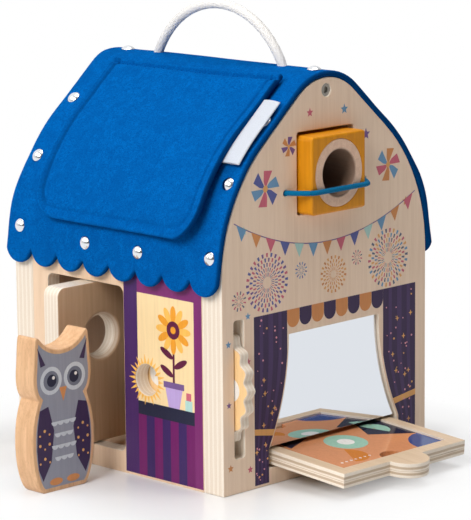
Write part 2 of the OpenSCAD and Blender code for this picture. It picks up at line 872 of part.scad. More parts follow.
module felt_flap() {
    end = roof_point(flap_seam + flap_l, flap_out);
    color("dodgerblue") difference() {
        along_x(flap_x - flap_w / 2, flap_w)
            polygon(roof_strip(flap_seam, flap_seam + flap_l, flap_out, flap_out + felt_t));
        for (side = [0, 1])
            translate([flap_x, 0, 0]) mirror([side, 0, 0]) along_y(-house_w, house_w) difference() {
                translate([flap_w / 2 - flap_r, end[1] - flap_r]) square([flap_r + past, 2 * flap_r]);
                translate([flap_w / 2 - flap_r, end[1] + flap_r]) circle(flap_r);
            }
    }
}

module flap_tag() {
    color("white") along_x(flap_x + flap_w / 2, tag_w)
        polygon(roof_strip(flap_seam + tag_down, flap_seam + tag_down + tag_l, tag_low, flap_out + felt_t));
}

module owl_figure() {
    half = [for (part = owl_curves, i = [0:owl_steps - 1]) owl_h * curve(part, i / owl_steps)];
    other = [for (i = [len(half) - 1:-1:0]) [-half[i][0], half[i][1]]];
    color("slategray") along_x(owl_x - owl_t / 2, owl_t) translate([owl_y, 0])
        polygon(concat(half, [owl_h * owl_curves[len(owl_curves) - 1][3]], other));
}

mirror_gable();
plain_gable();
front_panel();
back_panel();
base_board();
ridge_rail();
ridge_screws();
panel_dowels();
mirror_sheet();  // mirror
drawer_runners();
stop_brackets();
felt_roof();
roof_nails();
rope_handle();
elastic_cord();
door_pins();
door_washers();
wheel_axle();
wheel_washer();
wheel_screw();
revolving_door();
picture_wheel();
drawer_base();
drawer_frame();
drawer_picture();
drawer_pegs();
push_block();
block_tube();
block_flange();
flange_screws();
felt_flap();
flap_tag();
owl_figure();
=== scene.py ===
"""Looks of the wooden activity house: plywood, prints, felt roof, braided rope, mirror and the loose owl.
Sizes are in millimetres in the house's own frame, and are turned into metres where a mesh is made."""
import functools
import math
import random

import bmesh
import bpy
from mathutils import Color, Matrix, Vector, geometry, noise


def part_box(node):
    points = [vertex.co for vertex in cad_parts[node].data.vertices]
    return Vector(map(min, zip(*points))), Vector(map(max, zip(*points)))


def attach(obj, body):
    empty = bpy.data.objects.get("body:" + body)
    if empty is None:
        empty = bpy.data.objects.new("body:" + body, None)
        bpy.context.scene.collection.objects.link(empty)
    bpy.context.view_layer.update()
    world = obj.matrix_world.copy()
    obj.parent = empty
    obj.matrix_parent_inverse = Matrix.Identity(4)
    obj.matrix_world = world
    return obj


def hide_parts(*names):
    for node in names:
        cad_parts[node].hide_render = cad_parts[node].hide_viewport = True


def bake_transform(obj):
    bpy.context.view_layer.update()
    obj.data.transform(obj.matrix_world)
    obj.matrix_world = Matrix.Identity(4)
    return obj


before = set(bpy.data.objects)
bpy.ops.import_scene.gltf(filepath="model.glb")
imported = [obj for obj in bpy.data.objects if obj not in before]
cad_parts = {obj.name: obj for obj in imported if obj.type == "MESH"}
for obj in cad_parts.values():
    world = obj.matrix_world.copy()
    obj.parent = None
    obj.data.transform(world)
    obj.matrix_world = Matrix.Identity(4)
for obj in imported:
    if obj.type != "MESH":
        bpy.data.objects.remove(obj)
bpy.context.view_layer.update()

MM = 0.001


def span(node):
    """Lowest and highest corner of a node, in millimetres."""
    low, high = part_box(node)
    return low / MM, high / MM


# Boards, from the frame
GABLE_X, HALF_W, PEAK_Z = span("mirror_gable")[1]
FRONT_Y = span("front_panel")[0].y
INNER_X = span("front_panel")[1].x
DOOR_X = span("revolving_door")[0].x
WHEEL_Y = span("picture_wheel")[0].y
OWL_LOW, OWL_HIGH = span("owl_figure")

# Roof section
WALL_H = 137
EAVE_R = 118
RIDGE_R = 39
SLOPE = math.radians(41)
FELT_T = 4
FELT_LEFT = span("felt_roof")[0].x
FELT_RIGHT = span("felt_roof")[1].x
HEM_Z = span("felt_roof")[0].z
SCALLOPS = 8
SCALLOP_DEPTH = 9
RIDGE_CENTRE = Vector((0, PEAK_Z - RIDGE_R))
EAVE_CENTRE = Vector((HALF_W - EAVE_R, WALL_H))
RIDGE_RUN = (RIDGE_R + FELT_T) * SLOPE
SLOPE_RUN = math.hypot(
    EAVE_CENTRE.x - RIDGE_CENTRE.x + (EAVE_R - RIDGE_R) * math.sin(SLOPE),
    EAVE_CENTRE.y - RIDGE_CENTRE.y + (EAVE_R - RIDGE_R) * math.cos(SLOPE))
EAVE_TURN = math.pi / 2 - SLOPE
EAVE_END = RIDGE_RUN + SLOPE_RUN + (EAVE_R + FELT_T) * EAVE_TURN
HEM_RUN = EAVE_END + WALL_H - HEM_Z
NOTCH_RUN = HEM_RUN - SCALLOP_DEPTH

# Flap, tag and hatch: places along the ridge, and along the felt from the ridge
FLAP_LEFT = span("felt_flap")[0].x
FLAP_RIGHT = span("felt_flap")[1].x
FLAP_SEAM = 23.5
FLAP_END = 150
FLAP_CORNER = 22
HATCH_MARGIN = 22
TAG_START = 44.5
TAG_END = 96.5
TAG_OUT = span("flap_tag")[1].x

# Nails, as places along the ridge and along the felt
SIDES = (-1, 1)
RIDGE_NAIL = 89
END_NAIL = 91.5
END_NAIL_RUNS = (59, 108.75, 158.5)
HEM_NAIL = 25.5
HEM_NAIL_RUN = 162.5
NAILS = [(end * RIDGE_NAIL, 0) for end in SIDES]
NAILS += [(end * END_NAIL, side * run) for end in SIDES for side in SIDES for run in END_NAIL_RUNS]
NAILS += [(end * HEM_NAIL, side * HEM_NAIL_RUN) for end in SIDES for side in SIDES]

# Rope handle
ROPE_R = 3.25
ARCH_R = 65.5
ARCH_CENTRE = Vector((1, 0, span("rope_handle")[1].z - ROPE_R - ARCH_R))
ARCH_STEPS = 420
KNOT_R = 6.5

# Elastic round the block: half of its route, as places out from and across the block
ELASTIC_R = 1.75
ELASTIC_STEP = 0.4
ELASTIC_Z = (span("elastic_cord")[0].z + span("elastic_cord")[1].z) / 2
BLOCK_Y = -1
BLOCK_Z = (span("push_block")[0].z + span("push_block")[1].z) / 2
BORE_R = 15.5
ELASTIC_ROUTE = [(76, 38), (92, 38), (99, 37.2), (104, 34.2), (109, 30.2), (112.4, 27.2), (113.85, 23.5),
                 (113.85, 12)]

# Mirror and drawer
MIRROR_Y = 7
MIRROR_TOP = 98
MIRROR_HALF = 43.5
MIRROR_FLARE = 18.5
SLOT_TOP = 24.96
DRAWER_SLOPE = math.radians(4)
DRAWER_ORIGIN = Vector((GABLE_X, 6.5, 23))
PICTURE_SINK = 1.5

# Doorway, round window and wheel
PRINT_LEFT = 8.2
PRINT_RIGHT = 81.4
WINDOW = Vector((29.4, 67))
WINDOW_R = 10.5
WINDOW_GAP = 0.4
WHEEL = Vector((62, 69))
WHEEL_R = 49
WAVE_DEPTH = 3
WAVES = 24
AXLE_R = 5


def colour(shade):
    """Shader colour. A shade of three numbers has screen values of 0 to 255."""
    if len(shade) == 4:
        return shade
    return *(Color(shade) / 255).from_srgb_to_scene_linear(), 1


WHITE = (1, 1, 1, 1)
BLACK = (0, 0, 0, 1)


def grey(level):
    return level, level, level, 1


def dimmed(shade, share):
    red, green, blue, alpha = colour(shade)
    return share * red, share * green, share * blue, alpha


def adjust(thing, **settings):
    for key, value in settings.items():
        setattr(thing, key, value)
    return thing


class Nodes:
    """A node tree that grows by short calls."""

    def __init__(self, tree):
        self.tree = tree

    def feed(self, socket, value):
        if isinstance(value, bpy.types.NodeSocket):
            self.tree.links.new(value, socket)
        else:
            socket.default_value = colour(value) if socket.type == "RGBA" else value

    def add(self, kind, inputs, **properties):
        node = adjust(self.tree.nodes.new("ShaderNode" + kind), **properties)
        for key, value in inputs.items():
            self.feed(node.inputs[key], value)
        return node

    def math(self, operation, first, second=0.0):
        return self.add("Math", {0: first, 1: second}, operation=operation).outputs[0]

    def vector(self, operation, first, second=(0, 0, 0)):
        node = self.add("VectorMath", {0: first, 1: second}, operation=operation)
        return node.outputs["Value" if operation in ("DOT_PRODUCT", "LENGTH") else "Vector"]


class Shader(Nodes):
    """The nodes of a new material. Its texture coordinates are in millimetres."""

    def __init__(self, name, **settings):
        self.material = bpy.data.materials.new(name)
        self.material.use_nodes = True
        super().__init__(self.material.node_tree)
        self.surface = self.tree.nodes["Principled BSDF"]
        for key, value in settings.items():
            self.paint(key.replace("_", " "), value)

    def place(self, stretch=(1, 1, 1)):
        source = self.add("TexCoord", {}).outputs["Object"]
        return self.vector("MULTIPLY", source, [share / MM for share in stretch])

    def along(self, axis, start):
        """Distance along an axis from a start, in millimetres."""
        return self.math("SUBTRACT", self.vector("DOT_PRODUCT", self.place(), axis), start)

    def facing(self, axis):
        """How squarely the surface faces along an axis."""
        return self.vector("DOT_PRODUCT", self.add("TexCoord", {}).outputs["Normal"], axis)

    def noise(self, scale, detail=2.0, stretch=(1, 1, 1), warp=0.0):
        return self.add("TexNoise", {
            "Vector": self.place(stretch), "Scale": scale, "Detail": detail, "Distortion": warp}).outputs[0]

    def ramp(self, factor, *stops):
        node = self.add("ValToRGB", {0: factor})
        elements = node.color_ramp.elements
        while len(elements) < len(stops):
            elements.new(1)
        for element, (place, shade) in zip(elements, stops):
            element.position = place
            element.color = colour(shade)
        return node.outputs[0]

    def mix(self, factor, first, second, blend="MIX"):
        node = self.add("Mix", {0: factor, 6: first, 7: second}, data_type="RGBA", blend_type=blend)
        return node.outputs[2]

    def paint(self, key, value):
        self.feed(self.surface.inputs[key], value)

    def bump(self, height, depth, strength):
        node = self.add("Bump", {"Height": height, "Strength": strength, "Distance": depth * MM})
        self.paint("Normal", node.outputs[0])


def plywood(name, axis, start, grain, pale, deep, thick, plies, cross=(236, 221, 202)):
    """Lacquered birch plywood: veneer on the faces across the axis, and its plies as stripes on the edges."""
    look = Shader(name, Roughness=0.46, Coat_Weight=0.12, Coat_Roughness=0.35)
    streaks = look.noise(0.35, 4, grain, 0.6)
    pores = look.noise(1.9, 3, grain)
    clouds = look.noise(0.022, 2)
    veneer = look.ramp(streaks, (0.3, deep), (0.62, pale))
    veneer = look.mix(look.math("MULTIPLY", clouds, 0.35), veneer, deep)
    specks = look.ramp(pores, (0.3, grey(0.1)), (0.45, BLACK))
    veneer = look.mix(specks, veneer, (176, 138, 102))
    waver = look.math("MULTIPLY", look.noise(0.12, 2), 0.25)
    layer = look.math("ADD", look.math("DIVIDE", look.along(axis, start), thick / plies), waver)
    pair = look.math("FRACT", look.math("MULTIPLY", layer, 0.5))
    glue = (216, 194, 168)
    light = (243, 231, 215)
    stripes = look.ramp(pair, (0, light), (0.5, light), (0.55, glue), (0.62, cross), (0.88, cross),
                          (0.95, glue), (1, light))
    fibres = look.ramp(look.noise(1.4, 4), (0.35, grey(0.25)), (0.6, BLACK))
    stripes = look.mix(fibres, stripes, (222, 198, 168))
    on_face = look.ramp(look.math("ABSOLUTE", look.facing(axis)), (0.6, BLACK), (0.84, WHITE))
    look.paint("Base Color", look.mix(on_face, stripes, veneer))
    look.paint("Roughness", look.ramp(streaks, (0.2, grey(0.56)), (0.8, grey(0.42))))
    look.bump(pores, 0.05, 0.35)
    return look.material


def beech(name, grain, pale, deep, roughness, bore=0):
    """Plain beech with short dark flecks along its grain. Inside a bore along the block's axis it is darker:
    painted shade.
    """
    look = Shader(name, Roughness=roughness)
    streaks = look.noise(0.3, 4, grain, 0.5)
    flecks = look.noise(1.6, 2, [share * 1.6 for share in grain])
    wood = look.ramp(streaks, (0.3, deep), (0.7, pale))
    specks = look.ramp(flecks, (0.32, grey(0.35)), (0.42, BLACK))
    wood = look.mix(specks, wood, (150, 104, 66))
    if bore:
        # Painted shade: inside the bore's radius the wood turns dark brown, as the deep hole lies in shade
        away = look.vector("SUBTRACT", look.place((0, 1, 1)), (0, BLOCK_Y, BLOCK_Z))
        reach = look.vector("LENGTH", away)
        inside = look.ramp(look.math("DIVIDE", reach, 2 * bore), (0.5, grey(0.7)), (0.54, BLACK))
        wood = look.mix(inside, wood, (74, 48, 34))
    look.paint("Base Color", wood)
    look.bump(flecks, 0.05, 0.4)
    return look.material


def felt(name, pale, deep):
    """Pressed wool felt: short tangled fibres over a cloudy dye, with painted shade on faces turned towards
    +X.
    """
    look = Shader(name, Roughness=0.95, Sheen_Weight=0.18, Sheen_Roughness=0.45, Specular_IOR_Level=0.02,
                  Sheen_Tint=(10, 140, 230))
    clouds = look.noise(0.1, 4, (1, 1, 1), 1.0)
    fibres = look.noise(0.36, 6, (1, 1.4, 1.4), 2.5)
    hairs = look.noise(1.3, 4, (1.8, 1, 1), 3.0)
    dye = look.ramp(fibres, (0.38, deep), (0.6, pale))
    dye = look.mix(look.ramp(clouds, (0.36, BLACK), (0.64, grey(0.62))), dye, deep)
    dye = look.mix(look.ramp(hairs, (0.52, BLACK), (0.7, grey(0.5))), dye, (14, 130, 212))
    # Painted shade: faces turned towards +X, the side in shade, take a darker navy
    painted_side_shade = look.ramp(look.facing((1, 0, 0)), (0.08, BLACK), (0.4, grey(0.6)), (0.95, WHITE))
    look.paint("Base Color", look.mix(painted_side_shade, dye, (2, 58, 114)))
    look.bump(look.math("ADD", fibres, look.math("MULTIPLY", hairs, 0.6)), 0.8, 0.8)
    return look.material


def plain(name, pale, deep, grain, relief, high=0.7, **settings):
    """Paint, thread or plastic in two tones. Its grain is noise, which the surface follows."""
    look = Shader(name, **settings)
    pattern = look.noise(*grain)
    look.paint("Base Color", look.ramp(pattern, (0.3, deep), (high, pale)))
    look.bump(pattern, *relief)
    return look.material


@functools.cache
def ink(shade, gloss):
    """Printing ink that follows the wood's grain a little. Each ink is made once."""
    look = Shader(f"{shade} ink", Roughness=gloss, Specular_IOR_Level=0.25)
    grain = look.noise(0.5, 4, (1, 1, 0.05), 0.5)
    speckle = look.noise(2.4, 2)
    full = INKS[shade]
    tone = look.ramp(grain, (0.32, dimmed(full, 0.92)), (0.6, full))
    bare = look.ramp(speckle, (0.64, BLACK), (0.78, grey(0.06)))
    look.paint("Base Color", look.mix(bare, tone, (222, 190, 160)))
    return look.material


def metal(name, shade, roughness, brushed):
    """Bare metal with faint handling marks."""
    look = Shader(name, Metallic=1.0, Base_Color=shade)
    marks = look.noise(0.9, 3, (1, 1, brushed))
    look.paint("Roughness", look.ramp(marks, (0.3, grey(roughness)), (0.8, grey(roughness * 1.6))))
    return look.material


def woven(name, shade, thread):
    look = Shader(name, Roughness=0.7, Sheen_Weight=0.2)
    threads = {"Vector": look.place(), "Scale": 1 / thread}
    warp = look.add("TexWave", threads, bands_direction="X").outputs[0]
    weft = look.add("TexWave", threads, bands_direction="Z").outputs[0]
    weave = look.math("MULTIPLY", warp, weft)
    look.paint("Base Color", look.ramp(weave, (0, dimmed(shade, 0.8)), (0.5, shade)))
    look.bump(weave, 0.08, 0.4)
    return look.material


# Veneers as pale and deep screen colours
VENEER = ((238, 207, 176), (229, 196, 163))
# Door: a deeper, warmer copy of the veneer, as painted shade and warm bounce light on its shaded face
DOOR_PAINTED_SHADE_VENEER = ((216, 180, 144), (206, 168, 131))
# Gable: a paler copy of the veneer, as painted light that makes up for the shade the gable lies in
GABLE_PAINTED_LIGHT_VENEER = ((243, 216, 190), (235, 206, 179))
DRAWER_VENEER = ((220, 194, 164), (210, 182, 150))
# Stretch of the grain
UPRIGHT = (1, 1, 0.035)
LENGTHWISE = (0.035, 1, 1)
DRAWER_UP = Vector((math.sin(DRAWER_SLOPE), 0, math.cos(DRAWER_SLOPE)))
DRAWER_T = 10
DRAWER_FOOT = DRAWER_UP.dot(DRAWER_ORIGIN) - DRAWER_T

gable_ply = plywood("gable plywood", (1, 0, 0), INNER_X, UPRIGHT, *GABLE_PAINTED_LIGHT_VENEER, thick=18, plies=9)
wall_ply = plywood("wall plywood", (0, 1, 0), FRONT_Y, UPRIGHT, *VENEER, thick=11, plies=7)
base_ply = plywood("base plywood", (0, 0, 1), 0, LENGTHWISE, *VENEER, thick=9, plies=7)
door_ply = plywood("door plywood", (1, 0, 0), DOOR_X, UPRIGHT, *DOOR_PAINTED_SHADE_VENEER, thick=14, plies=9)
wheel_ply = plywood("wheel plywood", (0, 1, 0), WHEEL_Y, UPRIGHT, *VENEER, thick=7.5, plies=5)
drawer_ply = plywood("drawer plywood", DRAWER_UP, DRAWER_FOOT, LENGTHWISE, *DRAWER_VENEER, thick=DRAWER_T,
                     plies=5, cross=(194, 170, 144))
plain_wood = beech("plain wood", LENGTHWISE, (226, 190, 150), (198, 158, 116), 0.6)
tube_wood = beech("tube wood", (0.05, 1, 1), (238, 202, 176), (222, 182, 154), 0.5, BORE_R)
owl_wood = beech("owl wood", UPRIGHT, (230, 186, 142), (208, 160, 116), 0.5)
block_paint = plain("ochre paint", (222, 146, 12), (208, 132, 6), (0.4, 4, (1, 1, 0.06), 0.4), (0.06, 0.3),
                    Roughness=0.45, Specular_IOR_Level=0.3)
roof_felt = felt("blue felt", (0, 104, 188), (0, 78, 152))
THREAD = {"relief": (0.12, 0.5), "high": 0.65, "Roughness": 0.85, "Specular_IOR_Level": 0.1,
          "Sheen_Weight": 0.04, "Sheen_Roughness": 0.5}
rope_cotton = plain("white cotton", (238, 235, 231), (222, 218, 213), (2.2, 4, (1, 1, 1), 1.5), **THREAD)
elastic_yarn = plain("elastic yarn", (0, 118, 166), (0, 86, 126), (3, 4, (1, 1, 1), 1.5), **THREAD)
tag_cloth = woven("tag cloth", (208, 213, 222), 0.7)
chrome = metal("nail chrome", (232, 234, 238), 0.09, 1)
steel = metal("zinc steel", (150, 146, 138), 0.3, 0.1)
silvering = metal("mirror silvering", (222, 226, 232), 0.012, 1)
NYLON = (238, 234, 224)
washer_nylon = plain("washer nylon", NYLON, dimmed(NYLON, 0.9), (3, 2), (0.02, 0.3), Roughness=0.5)


# Finish of the frame's nodes
WELD_GAP = 0.002
FLAT_ANGLE = math.radians(0.3)
EDGE_ANGLE = math.radians(40)
FACE_WEIGHT = 80


def dress(material, *nodes, edge=0.5):
    """Gives nodes of the frame a material and soft edges."""
    for name in nodes:
        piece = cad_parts[name]
        piece.data.materials.clear()
        piece.data.materials.append(material)
        finish = piece.modifiers.new
        adjust(finish("weld", "WELD"), merge_threshold=WELD_GAP * MM)
        adjust(finish("flat faces", "DECIMATE"), decimate_type="DISSOLVE", angle_limit=FLAT_ANGLE)
        adjust(finish("soft edges", "BEVEL"), width=edge * MM, segments=3, limit_method="ANGLE",
               angle_limit=EDGE_ANGLE, use_clamp_overlap=False)
        adjust(finish("shading", "WEIGHTED_NORMAL"), weight=FACE_WEIGHT)


dress(gable_ply, "mirror_gable", "plain_gable", edge=0.8)
dress(wall_ply, "front_panel", "back_panel", edge=0.6)
dress(base_ply, "base_board")
dress(door_ply, "revolving_door", edge=0.9)
dress(wheel_ply, "picture_wheel", edge=0.4)
dress(drawer_ply, "drawer_base", "drawer_frame", edge=0.45)
dress(plain_wood, "ridge_rail", "panel_dowels", "drawer_runners", "stop_brackets", "wheel_axle",
      "drawer_pegs")
dress(tube_wood, "block_tube", edge=0.8)
dress(owl_wood, "owl_figure", edge=1.0)
dress(block_paint, "push_block", edge=0.3)
dress(block_paint, "block_flange")
dress(chrome, "roof_nails", edge=0.6)
dress(steel, "ridge_screws", "door_pins", "wheel_washer", "wheel_screw", "flange_screws", edge=0.2)
dress(silvering, "mirror", edge=0.3)
dress(washer_nylon, "door_washers", edge=0.15)


def show(name, data):
    thing = bpy.data.objects.new(name, data)
    bpy.context.scene.collection.objects.link(thing)
    return thing


def mesh_piece(name, mesh, material, smooth=True):
    """Object made of a finished mesh in millimetres."""
    bmesh.ops.recalc_face_normals(mesh, faces=mesh.faces)
    data = bpy.data.meshes.new(name)
    mesh.to_mesh(data)
    mesh.free()
    data.transform(Matrix.Scale(MM, 4))
    if smooth:
        data.shade_smooth()
    data.materials.append(material)
    piece = show(name, data)
    return piece


def on_roof(x, run, height):
    """Point at a height over the gable edge. The run goes along the felt from the ridge, towards the door."""
    reach = abs(run)
    share = min(max((reach - RIDGE_RUN) / SLOPE_RUN, 0), 1)
    centre = RIDGE_CENTRE.lerp(EAVE_CENTRE, share)
    radius = RIDGE_R + (EAVE_R - RIDGE_R) * share + height
    turn = min(reach / (RIDGE_R + FELT_T), SLOPE)
    turn += min(max((reach - RIDGE_RUN - SLOPE_RUN) / (EAVE_R + FELT_T), 0), EAVE_TURN)
    out = centre.x + radius * math.sin(turn)
    up = centre.y + radius * math.cos(turn) - max(reach - EAVE_END, 0)
    return Vector((x, -math.copysign(out, run), up))


def inset(outline, depth):
    """Closed outline moved to its left by a depth, with mitred corners."""
    moved = []
    for before, here, after in zip(outline[-1:] + outline[:-1], outline, outline[1:] + outline[:1]):
        first = Vector((before[1] - here[1], here[0] - before[0])).normalized()
        second = Vector((here[1] - after[1], after[0] - here[0])).normalized()
        moved.append(Vector(here) + depth * (first + second) / (1 + first.dot(second)))
    return moved


def skin(mesh, rings):
    """Faces from each closed ring of points to the next."""
    for first, second in zip(rings, rings[1:]):
        for i in range(len(first)):
            mesh.faces.new((first[i - 1], first[i], second[i], second[i - 1]))


# Points nearer than this to a cut stay as they are
CUT_GAP = 0.01


def flat_sheet(outlines, thickness, edge, cuts):
    """Flat sheet with a round rim, cut into a grid that can bend. It lies on the left of its outlines."""
    mesh = bmesh.new()
    quarter = [math.radians(90 - 30 * i) for i in range(4)]
    profile = [(edge * (1 - math.cos(a)), thickness / 2 - edge + edge * math.sin(a)) for a in quarter]
    profile += [(depth, -height) for depth, height in reversed(profile)]
    caps = ([], [])
    for outline in outlines:
        rings = []
        for depth, height in profile:
            rings.append([mesh.verts.new((*place, height)) for place in inset(outline, depth)])
        skin(mesh, rings)
        for cap, ring in zip(caps, (rings[0], rings[-1])):
            cap.extend(mesh.edges.get((ring[i - 1], ring[i])) for i in range(len(ring)))
    for cap in caps:
        bmesh.ops.triangle_fill(mesh, edges=cap, use_beauty=True)
    for normal, places in zip((Vector((1, 0, 0)), Vector((0, 1, 0))), cuts):
        for place in places:
            everything = mesh.verts[:] + mesh.edges[:] + mesh.faces[:]
            bmesh.ops.bisect_plane(mesh, geom=everything, plane_co=place * normal, plane_no=normal,
                                   dist=CUT_GAP)
    return mesh


def steps(start, end, pitch):
    """Evenly spaced places inside a range."""
    count = max(round((end - start) / pitch), 1)
    return [start + (end - start) * i / count for i in range(1, count)]


def arc(centre, radius, start, end, count):
    """Points of an arc, with its angles in degrees."""
    angles = [math.radians(start + (end - start) * i / count) for i in range(count + 1)]
    return [(centre[0] + radius * math.cos(a), centre[1] + radius * math.sin(a)) for a in angles]


def box(left, low, right, high):
    return [(left, low), (right, low), (right, high), (left, high)]


def ease(value, low, high):
    """Eased step from 0 to 1 over a range."""
    share = min(max((value - low) / (high - low), 0), 1)
    return share * share * (3 - 2 * share)


def fuzz(x, run, seed):
    """Small irregularity of felt: broad waves and a fibrous grain."""
    waves = 0.3 * noise.noise(Vector((x / 38, run / 30, seed)))
    grain = 0.07 * noise.noise(Vector((x / 1.7, run / 1.7, seed)))
    return waves + grain


# Felt's mesh and its drape. A nail's pull is in square millimetres
FELT_MADE = FELT_T - 0.1
ROOF_RIM = 1.8
SEAT_GAP = 0.05
FELT_SLACK = 0.45
NAIL_PULL = 120
HEM_CURL = 1.4
HEM_WAVE = 0.7
FAR_LIFT = 2.2
FAR_RUN = (90, 140)
END_PULL = 3.4
PULL_START = (6, 30)
PULL_END = (105, 145)
ROOF_GRID = (5, 4.5)


def felt_rise(x, run):
    """Height of the felt over its seat: loose between the nails and drawn down at them."""
    nearest = min((x - a) ** 2 + (run - b) ** 2 for a, b in NAILS)
    loose = 1 - math.exp(-nearest / NAIL_PULL)
    hem = ease(abs(run), EAVE_END - 14, EAVE_END + 8)
    curl = hem * (HEM_CURL + HEM_WAVE * noise.noise(Vector((x / 24, run / 90, 4))))
    back = FAR_LIFT * ease(-run, *FAR_RUN) * (0.4 + 0.6 * loose)
    return loose * (FELT_SLACK + fuzz(x, run, 1)) + curl + back


def drawn_in(x, run):
    """How far the felt's left end is drawn in between the ridge and the hem."""
    slack = ease(abs(run), *PULL_START) * (1 - ease(abs(run), *PULL_END))
    return END_PULL * slack * ease(-x, 60, -FELT_LEFT)


def make_felt_roof():
    pitch = (FELT_RIGHT - FELT_LEFT) / SCALLOPS
    radius = ((pitch / 2) ** 2 + SCALLOP_DEPTH ** 2) / (2 * SCALLOP_DEPTH)
    middle = HEM_RUN - radius
    start = math.degrees(math.asin((radius - SCALLOP_DEPTH) / radius))
    hem = []
    for i in range(SCALLOPS):
        hem += arc((FELT_RIGHT - (i + 0.5) * pitch, middle), radius, start, 180 - start, 12)[:-1]
    hem.append((FELT_LEFT, NOTCH_RUN))
    outline = hem + [(x, -run) for x, run in reversed(hem)]
    left, right = FLAP_LEFT + HATCH_MARGIN, FLAP_RIGHT - HATCH_MARGIN
    top, low = FLAP_SEAM + HATCH_MARGIN, FLAP_END - HATCH_MARGIN
    hole = [(left, top), (left, low), (right, low), (right, top)]
    cuts = (steps(FELT_LEFT, FELT_RIGHT, ROOF_GRID[0]), steps(-NOTCH_RUN, NOTCH_RUN, ROOF_GRID[1]))
    mesh = flat_sheet([outline, hole], FELT_MADE, ROOF_RIM, cuts)
    for vert in mesh.verts:
        x, run, height = vert.co
        level = FELT_T / 2 + SEAT_GAP + height + felt_rise(x, run)
        vert.co = on_roof(x + drawn_in(x, run), run, level)
    roof = mesh_piece("felt_roof_sheet", mesh, roof_felt)
    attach(roof, "house")
    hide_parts("felt_roof")


# Flap: lift of its right side, raised rim with a pressed line inside it, stitched groove, and grid
FLAP_LIFT = 5.5
FLAP_EDGE = 1.4
RIM_RISE = 0.8
RIM_LINE = 6.5
LINE_DEPTH = 0.9
SEAM_GROOVE = FLAP_SEAM + 3.5
GROOVE_DEPTH = 2.2
FLAP_GRID = (4.5, 4)
RIM_GRID = 0.9
SEAM_GRID = 0.6
SEAM_BAND = 8
STITCH_PITCH = 4.4
STITCH_SIZE = (1.5, 0.4, 0.5)

# Tag: its tape, the width that is sewn in, and its height over the gable
TAPE_T = 0.7
TAPE_RIM = 0.3
TAG_SEWN = 3
TAG_RISE = FELT_T + 3.6
TAG_GRID = (0.9, 4)


def flap_border(x, run):
    """Distance from the flap's free edges."""
    side = min(x - FLAP_LEFT, FLAP_RIGHT - x)
    below = FLAP_END - run
    if side < FLAP_CORNER and below < FLAP_CORNER:
        return FLAP_CORNER - math.hypot(FLAP_CORNER - side, FLAP_CORNER - below)
    return min(side, below)


def flap_relief(x, run):
    """Raised rim of the flap, the pressed line inside it, and the groove of the seam."""
    border = flap_border(x, run)
    rim = RIM_RISE * math.exp(-(border / 3) ** 2) - LINE_DEPTH * math.exp(-((border - RIM_LINE) / 1.4) ** 2)
    return rim - GROOVE_DEPTH * math.exp(-((run - SEAM_GROOVE) / 1.5) ** 2)


def flap_height(x, run):
    """Height of the flap's middle: seated on the roof, with a stitched seam and a lifted right side."""
    seat = FELT_T + 0.3 + FELT_T / 2 + 0.6
    lift = FLAP_LIFT * ease(x, 18, FLAP_RIGHT + 4) ** 1.5 * (0.3 + 0.7 * ease(run, FLAP_SEAM, FLAP_END))
    lift += 0.8 * ease(run, FLAP_END - 25, FLAP_END) + 0.7 * (1 - ease(x, FLAP_LEFT, FLAP_LEFT + 14))
    return seat + lift + fuzz(x, run, 7) * ease(run, FLAP_SEAM, FLAP_SEAM + 20)


def make_flap():
    corners = ((FLAP_RIGHT - FLAP_CORNER, 0, 90), (FLAP_LEFT + FLAP_CORNER, 90, 180))
    outline = [(FLAP_LEFT, FLAP_SEAM), (FLAP_RIGHT, FLAP_SEAM)]
    for x, start, end in corners:
        outline += arc((x, FLAP_END - FLAP_CORNER), FLAP_CORNER, start, end, 10)
    fine = FLAP_CORNER * 0.7
    band = FLAP_SEAM + SEAM_BAND
    across = steps(FLAP_LEFT + FLAP_EDGE, FLAP_LEFT + fine, RIM_GRID)
    across += steps(FLAP_LEFT + fine, FLAP_RIGHT - fine, FLAP_GRID[0])
    across += steps(FLAP_RIGHT - fine, FLAP_RIGHT - FLAP_EDGE, RIM_GRID)
    down = steps(FLAP_SEAM + FLAP_EDGE, band, SEAM_GRID) + steps(band, FLAP_END - fine, FLAP_GRID[1])
    down += steps(FLAP_END - fine, FLAP_END - FLAP_EDGE, RIM_GRID)
    mesh = flat_sheet([outline], FELT_MADE, FLAP_EDGE, (across, down))
    for vert in mesh.verts:
        x, run, height = vert.co
        share = height / FELT_T + 0.5
        vert.co = on_roof(x, run, flap_height(x, run) + height + share * flap_relief(x, run))
    flap = mesh_piece("felt_flap_sheet", mesh, roof_felt)
    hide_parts("felt_flap")
    return flap


def make_stitches():
    mesh = bmesh.new()
    long, wide, deep = STITCH_SIZE
    for x in steps(FLAP_LEFT, FLAP_RIGHT, STITCH_PITCH):
        middle = flap_height(x, SEAM_GROOVE) + FELT_T / 2 + flap_relief(x, SEAM_GROOVE)
        ball = bmesh.ops.create_uvsphere(mesh, u_segments=10, v_segments=6, radius=1)["verts"]
        for vert in ball:
            side, run, height = vert.co
            vert.co = on_roof(x + long * side, SEAM_GROOVE + wide * run, middle + deep * height)
    return mesh_piece("flap_stitches", mesh, roof_felt)


def make_tag_layer(name, belly):
    """One layer of the folded blank tape that comes out of the flap's edge, over the nail heads."""
    root = FLAP_RIGHT - TAG_SEWN
    outline = box(root, TAG_START, TAG_OUT, TAG_END)
    cuts = (steps(root, TAG_OUT, TAG_GRID[0]), steps(TAG_START, TAG_END, TAG_GRID[1]))
    mesh = flat_sheet([outline], TAPE_T, TAPE_RIM, cuts)
    for vert in mesh.verts:
        x, run, height = vert.co
        out = (x - root) / (TAG_OUT - root)
        vert.co = on_roof(x, run, TAG_RISE + belly * math.sin(math.pi * out) ** 0.6 + height)
    return mesh_piece(name, mesh, tag_cloth)


